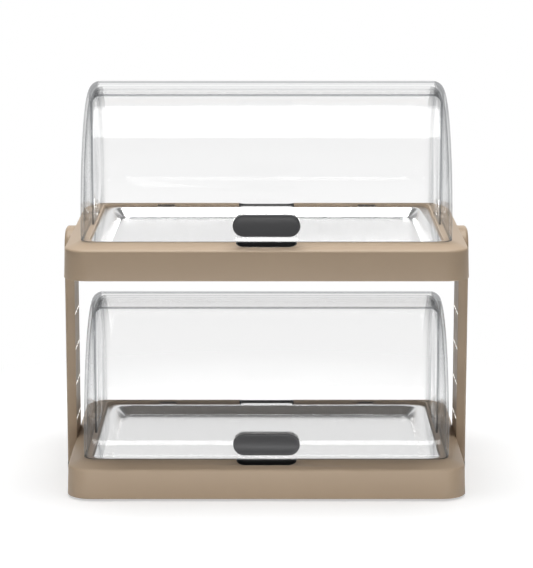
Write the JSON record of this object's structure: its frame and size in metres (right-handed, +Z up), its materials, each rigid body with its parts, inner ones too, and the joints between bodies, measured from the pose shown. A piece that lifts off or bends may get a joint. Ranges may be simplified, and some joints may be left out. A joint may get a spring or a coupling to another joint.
{
  "type": "refrigerated roll-top display",
  "caption": "Chilled roll-top display on two levels: shallow cold bases with steel trays over ice packs and clear roll-top covers, held between side posts.",
  "frame": {"origin": "on the standing plane under the middle of the display", "axes": "+Z up, the covers open towards -Y (front), +X to the viewer's right"},
  "size_m": [0.459, 0.32, 0.4435],
  "materials": {
    "taupe_plastic": "fine moulded texture",
    "clear_plastic": "clear polycarbonate, glossy",
    "stainless": "satin pressed sheet",
    "charcoal_plastic": "satin",
    "black_plastic": "matt",
    "dark_liner": "plain moulded",
    "ice_pack": "blow-moulded",
    "ice_pack_cap": "ribbed cap",
    "foam": "expanded foam",
    "rubber": "matt",
    "screw_steel": "zinc plated"
  },
  "bodies": {
    "root": {"lower_base_shell": "taupe_plastic", "lower_well_liner": "dark_liner", "lower_insulation": "foam", "lower_bottom_plate": "dark_liner", "lower_bottom_screws": "screw_steel", "lower_ice_pack_left": "ice_pack", "lower_ice_pack_right": "ice_pack", "lower_ice_pack_caps": "ice_pack_cap", "lower_rear_cover": "clear_plastic", "lower_pivot_pins": "clear_plastic", "lower_finger_cup_front": "black_plastic", "lower_finger_cup_rear": "black_plastic", "lower_post_screws": "screw_steel", "upper_base_shell": "taupe_plastic", "upper_well_liner": "dark_liner", "upper_insulation": "foam", "upper_bottom_plate": "dark_liner", "upper_bottom_screws": "screw_steel", "upper_ice_pack_left": "ice_pack", "upper_ice_pack_right": "ice_pack", "upper_ice_pack_caps": "ice_pack_cap", "upper_rear_cover": "clear_plastic", "upper_pivot_pins": "clear_plastic", "upper_finger_cup_front": "black_plastic", "upper_finger_cup_rear": "black_plastic", "upper_post_screws": "screw_steel", "left_post": "taupe_plastic", "right_post": "taupe_plastic", "post_foot_caps": "rubber", "rubber_feet": "rubber"},
    "lower_front_cover_body": {"lower_front_cover": "clear_plastic", "lower_handle_boss": "clear_plastic", "lower_handle_plate": "charcoal_plastic"},
    "lower_tray_body": {"lower_tray": "stainless"},
    "upper_front_cover_body": {"upper_front_cover": "clear_plastic", "upper_handle_boss": "clear_plastic", "upper_handle_plate": "charcoal_plastic"},
    "upper_tray_body": {"upper_tray": "stainless"}
  },
  "joints": [
    {"name": "lower_cover_roll", "type": "hinge", "parent": "root", "child": "lower_front_cover_body", "pos_m": [0, 0.014, 0.0485], "axis": [-1, 0, 0], "range_deg": [0, 88]},
    {"name": "lower_tray_lift", "type": "slide", "parent": "root", "child": "lower_tray_body", "axis": [0, 0, 1], "range_m": [0, 0.03]},
    {"name": "upper_cover_roll", "type": "hinge", "parent": "root", "child": "upper_front_cover_body", "pos_m": [0, 0.014, 0.2915], "axis": [-1, 0, 0], "range_deg": [0, 88]},
    {"name": "upper_tray_lift", "type": "slide", "parent": "root", "child": "upper_tray_body", "axis": [0, 0, 1], "range_m": [0, 0.03]}
  ]
}
